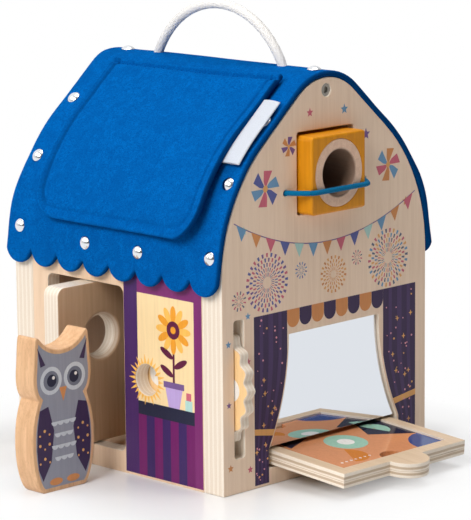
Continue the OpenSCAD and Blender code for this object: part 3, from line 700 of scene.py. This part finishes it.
make_felt_roof()
flap_sheet = make_flap()
flap_stitches = make_stitches()
flap_tag = make_tag_layer("flap_tag_tape", 1.3)
tag_back = make_tag_layer("flap_tag_back", 0)
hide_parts("flap_tag")
bend_from = on_roof(0, FLAP_SEAM + 1, FELT_T) * MM
bend_to = on_roof(0, FLAP_SEAM + 14, FELT_T) * MM
for soft_piece in (flap_sheet, flap_stitches):
    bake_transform(soft_piece)
for tape in (flap_tag, tag_back):
    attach(tape, "flap")


def plait(across, along):
    """Relief of a plain plait, from 0 to 1: each crossing shows one strand over the other."""
    first, u = divmod(across + along, 1)
    second, v = divmod(across - along, 1)
    if (first + second) % 2:
        u, v = v, u
    return math.sqrt(1 - 3.2 * (u - 0.5) ** 2) * (1 - 1.2 * (v - 0.5) ** 2)


def plaited_tube(path, radius, strands, pitch, relief, sides):
    """Closed tube along a path, with a plait in its surface."""
    mesh = bmesh.new()
    rings = []
    travelled = 0
    for i, here in enumerate(path):
        before = path[max(i - 1, 0)]
        ahead = (path[min(i + 1, len(path) - 1)] - before).normalized()
        side = ahead.cross(Vector((0, 1, 0)) if abs(ahead.y) < 0.8 else Vector((0, 0, 1))).normalized()
        other = ahead.cross(side)
        travelled += (here - before).length
        ring = []
        for k in range(sides):
            share = k / sides
            depth = radius - relief * (1 - plait(strands * share, travelled / pitch))
            turn = 2 * math.pi * share
            ring.append(mesh.verts.new(here + depth * (math.cos(turn) * side + math.sin(turn) * other)))
        rings.append(ring)
    skin(mesh, rings)
    mesh.faces.new(rings[0])
    mesh.faces.new(rings[-1][::-1])
    return mesh


def make_knot(name, centre):
    """Stopper knot: a lump of wound turns."""
    mesh = bmesh.new()
    bmesh.ops.create_uvsphere(mesh, u_segments=48, v_segments=32, radius=KNOT_R)
    for vert in mesh.verts:
        turn = math.atan2(vert.co.y, vert.co.x)
        tilt = math.acos(max(-1, min(1, vert.co.z / KNOT_R)))
        vert.co *= 0.9 + 0.1 * abs(math.sin(3 * tilt + turn))
        vert.co += centre
    knot = mesh_piece(name, mesh, rope_cotton)
    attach(knot, "house")
    return knot


def make_rope():
    turns = [math.pi * i / ARCH_STEPS for i in range(ARCH_STEPS + 1)]
    path = [ARCH_CENTRE + ARCH_R * Vector((math.cos(a), 0, math.sin(a))) for a in turns]
    mesh = plaited_tube(path, ROPE_R, strands=8, pitch=7.5, relief=0.32, sides=48)
    knot_z = span("rope_handle")[0].z + KNOT_R
    knots = [make_knot("rope_knot_right", Vector((path[0].x, 0, knot_z)))]
    knots.append(make_knot("rope_knot_left", Vector((path[-1].x, 0, knot_z))))
    rope = mesh_piece("rope_handle_braid", mesh, rope_cotton)
    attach(rope, "house")
    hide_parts("rope_handle")


def make_elastic():
    half = [Vector((x, BLOCK_Y + y, ELASTIC_Z)) for x, y in ELASTIC_ROUTE]
    corners = half + [Vector((p.x, 2 * BLOCK_Y - p.y, p.z)) for p in reversed(half)]
    path = []
    for start, end in zip(corners, corners[1:]):
        count = max(int((end - start).length / ELASTIC_STEP), 1)
        path += [start.lerp(end, i / count) for i in range(count)]
    path.append(corners[-1])
    mesh = plaited_tube(path, ELASTIC_R, strands=8, pitch=2.6, relief=0.16, sides=32)
    elastic = mesh_piece("elastic_cord_braid", mesh, elastic_yarn)
    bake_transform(elastic)
    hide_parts("elastic_cord")


make_rope()
make_elastic()

# Inks, as screen colours
INKS = {
    "plum": (62, 46, 80), "plum_light": (76, 57, 98), "amber": (214, 144, 88), "gold": (230, 172, 106),
    "sky": (112, 154, 190), "indigo": (92, 98, 158), "rose": (208, 106, 124), "blush": (226, 156, 170),
    "mint": (178, 214, 206), "violet": (122, 92, 146), "slate": (96, 104, 126), "cream": (250, 220, 168),
    "grape": (72, 38, 98), "wine": (124, 44, 108), "night": (62, 38, 96), "magenta": (112, 30, 98),
    "orange": (240, 160, 48), "sun": (252, 192, 92), "maroon": (96, 30, 62), "lilac": (192, 166, 218),
    "navy": (38, 40, 62), "white": (248, 244, 238), "yolk": (250, 210, 152), "ash": (150, 152, 164),
    "smoke": (118, 122, 136), "pearl": (206, 210, 216), "sand": (222, 150, 104), "leaf": (164, 208, 186),
    "ocean": (44, 72, 136), "ochre": (214, 128, 40)
}
PRINT_T = 0.06


class Print:
    """Printed shapes on a flat face: each ink becomes one piece of thin solids. Later layers lie on top."""

    def __init__(self, name, body, place, gloss=0.5):
        self.name = name
        self.body = body
        self.place = place
        self.gloss = gloss
        self.shapes = {}

    def add(self, shade, outline, layer=0):
        self.shapes.setdefault(shade, []).append(([tuple(point) for point in outline], layer))

    def make(self):
        for shade, shapes in self.shapes.items():
            mesh = bmesh.new()
            for outline, layer in shapes:
                turn = sum(a[0] * b[1] - b[0] * a[1] for a, b in zip(outline, outline[1:] + outline[:1]))
                points = outline if turn > 0 else outline[::-1]
                low = [mesh.verts.new(self.place(u, v, PRINT_T / 3)) for u, v in points]
                high = [mesh.verts.new(self.place(u, v, PRINT_T * (1 + layer))) for u, v in points]
                mesh.faces.new(high)
                mesh.faces.new(low[::-1])
                skin(mesh, (low, high))
            material = ink(shade, self.gloss)
            piece = mesh_piece(f"{self.name}_{shade}", mesh, material, smooth=False)
            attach(piece, self.body)


def disc(centre, radius, count=28):
    return arc(centre, radius, 0, 360, count)[:-1]


def oval(centre, wide, high, count, turn=0):
    spin = Matrix.Rotation(turn, 2)
    return [Vector(centre) + spin @ Vector((x * wide, y * high)) for x, y in disc((0, 0), 1, count)]


def heading(angle):
    return Vector((math.cos(angle), math.sin(angle)))


def ray(centre, angle, inner, outer, root, tip):
    """Tapered ray that points away from a centre."""
    ahead = heading(angle)
    side = Vector((-ahead.y, ahead.x))
    corners = ((inner, -root), (outer, -tip), (outer, tip), (inner, root))
    return [Vector(centre) + reach * ahead + wide / 2 * side for reach, wide in corners]


def star(centre, radius, points, share):
    tips = [heading(math.pi * (i / points + 0.5)) for i in range(2 * points)]
    return [Vector(centre) + radius * (share if i % 2 else 1) * tip for i, tip in enumerate(tips)]


# Burst: shares of its radius, and of a dash's width at its root
BURST_HOLE = 0.2
DASH_LONG = 0.66
DASH_TAPER = 0.7


def burst(sheet, centre, radius, rays, rings, *shades):
    """Starburst of short dashes in rings, each ring turned half a step from the last."""
    for ring in range(rings):
        inner = radius * (BURST_HOLE + (1 - BURST_HOLE) * ring / rings)
        outer = inner + radius * DASH_LONG / rings
        wide = math.pi * inner / rays
        for i in range(rays):
            angle = 2 * math.pi * (i + 0.5 * (ring % 2)) / rays
            dash = ray(centre, angle, inner, outer, wide * DASH_TAPER, wide)
            sheet.add(shades[(i + ring) % len(shades)], dash)


# Pinwheel: the turn and reach of a blade's corners, and the hub, as shares
BLADES = 6
BLADE_CORNERS = ((0, 1), (0.2, 0.92), (1.55 / BLADES, 0.42))
HUB = 0.17


def pinwheel(sheet, centre, radius, *shades):
    """Toy windmill with folded blades and a round hub."""
    for i in range(BLADES):
        angle = 2 * math.pi * i / BLADES
        corners = [Vector(centre) + radius * reach * heading(angle + turn * math.pi)
                   for turn, reach in BLADE_CORNERS]
        sheet.add(shades[i % len(shades)], [centre] + corners)
    sheet.add("gold", disc(centre, radius * HUB), 1)


def bunting(sheet, start, end, sag, flags, shades, size):
    """Sagging string with pennants."""
    def point(share):
        return Vector(start).lerp(end, share) - Vector((0, 4 * sag * share * (1 - share)))
    string = [point(i / 40) for i in range(41)]
    thick = Vector((0, 0.35))
    sheet.add("violet", [p + thick for p in string] + [p - thick for p in reversed(string)])
    for i in range(flags):
        middle = (i + 0.5) / flags
        half = 0.33 / flags
        first, second = point(middle - half), point(middle + half)
        tip = (first + second) / 2 - Vector((0, size))
        sheet.add(shades[i % len(shades)], [first, tip, second], 1)


def mirror_reach(z):
    return MIRROR_HALF + MIRROR_FLARE * ((MIRROR_TOP - z) / (MIRROR_TOP - SLOT_TOP)) ** 2


# Curtains and the striped valance between them
CURTAIN_TOP = 114.5
SCALLOP_Z = 108
VALANCE_LEFT = -38.6
STRIPES = 8
STRIPE = 11.7
STRIPE_GAP = 0.1


def curtain(sheet, side, outer, inner_top, rng):
    """Curtain beside the mirror, with soft folds, dots and small stars."""
    bottom, top, tie = 2, CURTAIN_TOP, 33

    def inner(z):
        edge = MIRROR_Y + side * (mirror_reach(min(max(z, SLOT_TOP), MIRROR_TOP)) + 1.6)
        return side * max(side * edge, side * inner_top)

    levels = [bottom + (top - bottom) * i / 40 for i in range(41)]
    sheet.add("plum", [(inner(z), z) for z in levels] + [(outer, z) for z in reversed(levels)])
    for share, wide in ((0.22, 0.05), (0.5, 0.07), (0.78, 0.05)):
        near = [(inner(z) + (outer - inner(z)) * (share - wide), z) for z in levels]
        far = [(inner(z) + (outer - inner(z)) * (share + wide), z) for z in reversed(levels)]
        sheet.add("plum_light", near + far, 1)
    sheet.add("gold", [(inner(tie), tie), (inner(tie + 4), tie + 4), (outer, tie + 7), (outer, tie + 3)], 2)
    for i in range(46):
        z = rng.uniform(bottom + 3, top - 3)
        share = rng.uniform(0.1, 0.9)
        centre = (inner(z) + (outer - inner(z)) * share, z)
        if i % 6 == 0:
            sheet.add("gold", star(centre, 1.9, 4, 0.35), 3)
        else:
            sheet.add("blush" if i % 3 else "gold", disc(centre, rng.uniform(0.35, 0.75), 10), 3)


# Gable print: bursts with their centre, radius, rays, rings and inks
GABLE_BURSTS = (
    ((-57, 135.5), 20, 28, 5, "violet", "indigo", "rose"),
    ((6, 132), 13, 20, 4, "amber", "gold"),
    ((60, 135.5), 20.5, 30, 5, "slate", "sky", "gold", "rose"),
    ((-25, 139), 6, 12, 2, "indigo", "sky"),
    ((29, 140), 5.5, 12, 2, "rose", "slate"),
    ((-83, 127), 7, 12, 2, "rose", "slate"),
)

# Pinwheels and stars with their centre, radius and inks
GABLE_PINWHEELS = (
    ((-58, 197), 13, "sky", "rose", "indigo"),
    ((60, 199), 12, "rose", "amber", "sky"),
    ((-36, 222), 7, "amber", "violet"),
)
GABLE_STARS = (
    ((-16, 242), 3.2, "rose"), ((17, 241), 3.6, "sky"), ((38, 222), 4.2, "violet"), ((78, 172), 3.4, "amber"),
    ((-78, 172), 3.2, "mint"), ((-75, 116), 2.6, "sky"), ((-74, 14), 2.6, "rose"), ((-92, 18), 2.8, "amber"),
    ((-93, 60), 2.4, "violet"), ((-75, 86), 2.4, "rose"), ((-93, 100), 2.6, "sky"),
)


def print_gable():
    sheet = Print("gable_print", "house", lambda u, v, h: Vector((GABLE_X + h, u, v)))
    rng = random.Random(5)
    curtain(sheet, -1, -69.6, VALANCE_LEFT, rng)
    curtain(sheet, 1, 87.8, 55, rng)
    for i in range(STRIPES):
        left = VALANCE_LEFT + i * STRIPE
        right = left + STRIPE - STRIPE_GAP
        scallop = arc((left + STRIPE / 2, SCALLOP_Z), STRIPE / 2 - STRIPE_GAP, 180, 360, 14)
        scallop += [(right, CURTAIN_TOP), (left + STRIPE_GAP, CURTAIN_TOP)]
        sheet.add("plum" if i % 2 else "amber", scallop)
    flags = ("sky", "amber", "rose", "indigo", "mint")
    bunting(sheet, (-87, 178), (87, 178), sag=23, flags=13, shades=flags, size=9)
    for row in GABLE_BURSTS:
        burst(sheet, *row)
    for row in GABLE_PINWHEELS:
        pinwheel(sheet, *row)
    for centre, radius, shade in GABLE_STARS:
        sheet.add(shade, star(centre, radius, 5, 0.45))
    sheet.make()


def bitten_edge(x, low, high, side):
    """Upright edge that runs round the window on one side, from low to high."""
    reach = WINDOW_R + WINDOW_GAP
    half = math.degrees(math.acos((x - WINDOW.x) / reach))
    end = half if side > 0 else half - 360
    return [(x, low)] + arc(WINDOW, reach, -half, end, 20) + [(x, high)]


def print_front():
    sheet = Print("front_print", "house", lambda u, v, h: Vector((u, FRONT_Y - h, v)), 0.4)
    low, sill, shelf, head, top = 1.6, 43, 52, 125, 152
    left, right = 21, 74
    edge = bitten_edge(left, shelf, head, 1)
    sheet.add("cream", edge + [(right, head), (right, shelf)])
    edge = bitten_edge(left - 0.05, shelf, head, -1)
    foot = [(PRINT_LEFT, low), (left, low), (left, shelf)]
    sheet.add("grape", foot + edge + [(left, top), (PRINT_LEFT, top)])
    sheet.add("wine", box(right, low, PRINT_RIGHT, top))
    sheet.add("wine", box(left, head, right, top))
    sheet.add("navy", box(left, sill, right, shelf))
    stripe = (right - left) / 7
    for i in range(7):
        shade = "night" if i % 2 else "magenta"
        sheet.add(shade, box(left + i * stripe, low, left + (i + 1) * stripe, sill))
    for i in range(26):
        long = 6.6 if i % 2 else 4.6
        sheet.add("sun", ray(WINDOW, 2 * math.pi * i / 26, WINDOW_R + 0.5, WINDOW_R + long, 2.3, 0.2), 1)
    flower = Vector((55, 104))
    sheet.add("maroon", box(flower.x - 0.9, shelf + 15, flower.x + 0.9, flower.y), 1)
    for i in range(12):
        angle = 2 * math.pi * i / 12
        petal = oval(flower + 10.5 * heading(angle), 5.6, 2.5, 18, angle)
        sheet.add("orange" if i % 2 else "sun", petal, 2)
    sheet.add("maroon", disc(flower, 6), 3)
    sheet.add("orange", disc(flower, 2.4), 4)
    for side, level in ((-1, 76), (1, 82), (-1, 88)):
        centre = (flower.x + side * 6.5, level)
        sheet.add("maroon", oval(centre, 6.6, 2.2, 20, side * math.radians(28)), 2)
    sheet.add("lilac", [(47, shelf + 13), (50, shelf), (60, shelf), (63, shelf + 13)], 2)
    sheet.add("violet", box(45.5, shelf + 13, 64.5, shelf + 17), 3)
    sheet.add("mint", box(65.5, shelf, 72, shelf + 7), 2)
    sheet.add("rose", box(66.5, shelf + 7, 71, shelf + 12), 2)
    sheet.make()


def print_wheel():
    sheet = Print("wheel_print", "wheel", lambda u, v, h: Vector((u, WHEEL_Y - h, v)))
    count = WAVES * 8

    def rim(i):
        angle = 2 * math.pi * i / count
        reach = WHEEL_R - 0.7 - WAVE_DEPTH / 2 * (1 - math.cos(angle * WAVES))
        return WHEEL + reach * heading(angle)

    for start in (0, count // 2):
        outer = [rim(start + i) for i in range(count // 2 + 1)]
        turned = 360 * start / count
        sheet.add("yolk", outer + arc(WHEEL, AXLE_R + 2, turned + 180, turned, 20))
    for i in range(10):
        centre = WHEEL + 33.6 * heading(2 * math.pi * i / 10)
        sheet.add("white", disc(centre, 8), 1)
        sheet.add("sun", star(centre, 4, 6, 0.5), 2)
    sheet.make()


def print_drawer():
    tilt = Matrix.Rotation(DRAWER_SLOPE, 3, "Y")

    def place(u, v, h):
        return DRAWER_ORIGIN + tilt @ Vector((u, v, h - PICTURE_SINK))

    sheet = Print("drawer_print", "drawer", place, 0.12)
    rear, front, half, notch = -44, 54, 49.5, 10.5
    edge = arc((54.5, 0), notch, 92.7, 267.3, 24)
    sheet.add("sand", [(rear, half), (rear, -half), (front, -half)] + edge[::-1] + [(front, half)])
    sheet.add("navy", [(rear, half), (rear, 14), (-8, 30), (12, 20), (30, half)], 1)
    sheet.add("ocean", arc((front, half), 24, 180, 270, 16) + [(front, half)], 1)
    sheet.add("leaf", disc((14, -4), 15), 1)
    sheet.add("leaf", arc((6, 33), 11, 20, 200, 16), 2)
    sheet.add("ochre", arc((36, -24), 13, -30, 150, 18), 1)
    sheet.add("navy", [(-30, -40), (2, -44), (-8, -18)], 1)
    sheet.add("white", disc((14, -4), 6), 2)
    for i in range(7):
        sheet.add("white", star((44, -40 + i * 4.4), 1.3, 4, 0.4), 2)
        sheet.add("gold", disc((-30 + i * 7, 38 - (i % 2) * 4), 1), 2)
    sheet.make()


# Owl: half of its outline as a chain of curves, in shares of its height, and the height at which it is drawn
OWL_CHAIN = (
    (0.17, 0), (0.214, 0.018), (0.268, 0.16),
    (0.259, 0.357), (0.253, 0.464), (0.232, 0.536),
    (0.2, 0.598), (0.241, 0.634), (0.25, 0.714),
    (0.237, 0.804), (0.232, 0.875), (0.228, 0.94),
    (0.221, 0.982), (0.216, 1.006), (0.194, 1.004),
    (0.179, 0.984), (0.134, 0.929), (0.071, 0.902),
    (0, 0.902)
)
OWL_DRAWN = 112
CURVE_STEPS = 8


def owl_outline(margin):
    """Outline of the owl about its middle, drawn in by a margin."""
    half = []
    for start in range(0, len(OWL_CHAIN) - 1, 3):
        curve = geometry.interpolate_bezier(*OWL_CHAIN[start:start + 4], CURVE_STEPS + 1)
        half += [OWL_DRAWN * place for place in curve[:-1]]
    half.append(OWL_DRAWN * Vector(OWL_CHAIN[-1]))
    whole = half + [Vector((-p.x, p.y)) for p in reversed(half[:-1])]
    return [p for p in inset(whole, margin) if min((p - q).length for q in whole) > 0.97 * margin]


def print_owl():
    middle = (OWL_LOW.y + OWL_HIGH.y) / 2
    grow = OWL_HIGH.z / OWL_DRAWN
    faces = {
        "owl_front": lambda u, v, h: Vector((OWL_HIGH.x + h, middle + u * grow, v * grow)),
        "owl_back": lambda u, v, h: Vector((OWL_LOW.x - h, middle - u * grow, v * grow)),
    }
    for name, place in faces.items():
        sheet = Print(name, "owl", place, 0.45)
        sheet.add("ash", owl_outline(3.2))
        for side in SIDES:
            wing = [(side * 24.5, 46), (side * 22, 60), (side * 14, 62), (side * 9, 44), (side * 12, 22),
                    (side * 20, 9), (side * 24, 18), (side * 25.2, 32)]
            sheet.add("plum", wing, 1)
            for i in range(9):
                spot = (side * (13.5 + 4.4 * (i % 3)), 22 + 10 * (i // 3) + 3 * (i % 2))
                sheet.add("gold", disc(spot, 0.8 + 0.3 * (i % 2), 12), 2)
            sheet.add("pearl", disc((side * 11, 80), 10), 1)
            sheet.add("smoke", disc((side * 11, 80), 7), 2)
            sheet.add("navy", disc((side * 10.4, 80), 4.4), 3)
            sheet.add("white", disc((side * 10.4 + 1.6, 81.8), 1.3, 14), 4)
            sheet.add("plum", [(side * 16, 92), (side * 23, 105), (side * 20.5, 91)], 2)
            sheet.add("amber", oval((side * 8, 7), 6, 2.6, 18), 2)
        for row in range(4):
            for i in range(4 - row % 2):
                u = (i - (3 - row % 2) / 2) * 5.6
                v = 50 - row * 8.5
                sheet.add("pearl", arc((u, v), 3, 180, 360, 12), 3)
        sheet.add("amber", [(-3.4, 74), (0, 64), (3.4, 74)], 3)
        sheet.make()


print_gable()
print_front()
print_wheel()
print_drawer()
print_owl()

picture = Shader("picture board", Roughness=0.2)
tones = picture.ramp(picture.noise(0.5, 3), (0.3, (196, 128, 84)), (0.7, (214, 146, 100)))
picture.paint("Base Color", tones)
dress(picture.material, "drawer_picture", edge=0.3)


# Distance over which the floor fades to white, and how far the fade is moved
FLOOR_FADE = 120
FLOOR_SHIFT = (0, -20, 0)


def shadow_floor():
    """White floor that keeps the shadow near the house and fades into the white behind it."""
    look = Shader("studio floor", Roughness=0.28)
    seen = look.add("LightPath", {})
    place = look.vector("ABSOLUTE", look.vector("SUBTRACT", look.place(), FLOOR_SHIFT))
    beyond = look.vector("MAXIMUM", look.vector("SUBTRACT", place, (GABLE_X, HALF_W, 0)))
    share = look.math("DIVIDE", look.vector("LENGTH", beyond), FLOOR_FADE)
    far = look.ramp(share, (0.12, BLACK), (0.3, grey(0.16)), (0.6, grey(0.75)), (1, WHITE))
    grain = look.noise(0.02, 2)
    look.paint("Base Color", look.ramp(grain, (0.3, (0.86, 0.865, 0.875, 1)), (0.7, grey(0.88))))
    glow = look.add("Emission", {"Color": WHITE, "Strength": 1.0})
    shown = look.add("MixShader", {0: far, 1: look.surface.outputs[0], 2: glow.outputs[0]})
    watched = look.math("MAXIMUM", seen.outputs["Is Camera Ray"], seen.outputs["Is Glossy Ray"])
    watched = look.math("MAXIMUM", watched, seen.outputs["Is Transmission Ray"])
    final = look.add("MixShader", {0: watched, 1: look.surface.outputs[0], 2: shown.outputs[0]})
    look.feed(look.tree.nodes["Material Output"].inputs["Surface"], final.outputs[0])
    return look.material


# Floor in metres, and light of the room on matt and on shiny surfaces
FLOOR_SIZE = 12
ROOM_LIGHT = 0.03
ROOM_BRIGHT = (-0.75, 0, 0.66)
ROOM_RANGE = {"From Min": -0.4, "From Max": 0.9, "To Min": 0.12, "To Max": 1}


def make_stage():
    bpy.ops.mesh.primitive_grid_add(x_subdivisions=8, y_subdivisions=8, size=FLOOR_SIZE)
    floor = bpy.context.object
    floor.name = "floor"
    floor.data.materials.append(shadow_floor())
    world = bpy.data.worlds.new("studio")
    world.use_nodes = True
    bpy.context.scene.world = world
    nodes = Nodes(world.node_tree)
    seen = nodes.add("LightPath", {}).outputs
    bright = nodes.vector("DOT_PRODUCT", nodes.add("TexCoord", {}).outputs["Generated"], ROOM_BRIGHT)
    room = nodes.add("MapRange", {"Value": bright, **ROOM_RANGE}).outputs["Result"]
    mirrored = nodes.add("Mix", {"Factor": seen["Is Glossy Ray"], "A": ROOM_LIGHT, "B": room})
    watched = nodes.math("MAXIMUM", seen["Is Camera Ray"], seen["Is Transmission Ray"])
    level = nodes.add("Mix", {"Factor": watched, "A": mirrored.outputs["Result"], "B": 1})
    background = world.node_tree.nodes["Background"].inputs
    nodes.feed(background["Color"], WHITE)
    nodes.feed(background["Strength"], level.outputs["Result"])


# Camera, with its distance and target in metres
CAMERA_TURN = math.radians(44.89)
CAMERA_RISE = math.radians(10.83)
CAMERA_ROLL = math.radians(0.567)
CAMERA_REACH = 1.9762
CAMERA_TARGET = Vector((0.01456, 0, 0.13136))
CAMERA_LENS = 200.93
CAMERA_FAR = 50

# Lamps: place, aim and width in metres, and power
LAMPS = {
    "key": ((0.35, -1.9, 1.5), (0, 0, 0.12), 1.2, 38),
    "left": ((-1.1, -1.7, 1.6), (0, 0, 0.12), 1.4, 14),
    "top": ((0.3, 0.2, 2.2), (0, 0, 0.1), 1.6, 30),
}

make_stage()
for lamp_name, (place, aim, size, power) in LAMPS.items():
    lamp = adjust(bpy.data.lights.new(lamp_name, "AREA"), shape="DISK", size=size, energy=power)
    turn = (Vector(aim) - Vector(place)).to_track_quat("-Z", "Y").to_euler()
    adjust(show(lamp_name, lamp), location=place, rotation_euler=turn)

lens = adjust(bpy.data.cameras.new("camera"), lens=CAMERA_LENS, clip_end=CAMERA_FAR)
turn = Matrix.Rotation(CAMERA_TURN, 4, "Z") @ Matrix.Rotation(math.pi / 2 - CAMERA_RISE, 4, "X")
turn @= Matrix.Rotation(-CAMERA_ROLL, 4, "Z")
camera = show("camera", lens)
camera.matrix_world = Matrix.Translation(CAMERA_TARGET + CAMERA_REACH * turn.col[2].to_3d()) @ turn
bpy.context.scene.camera = camera
bpy.context.scene.view_settings.view_transform = "Standard"
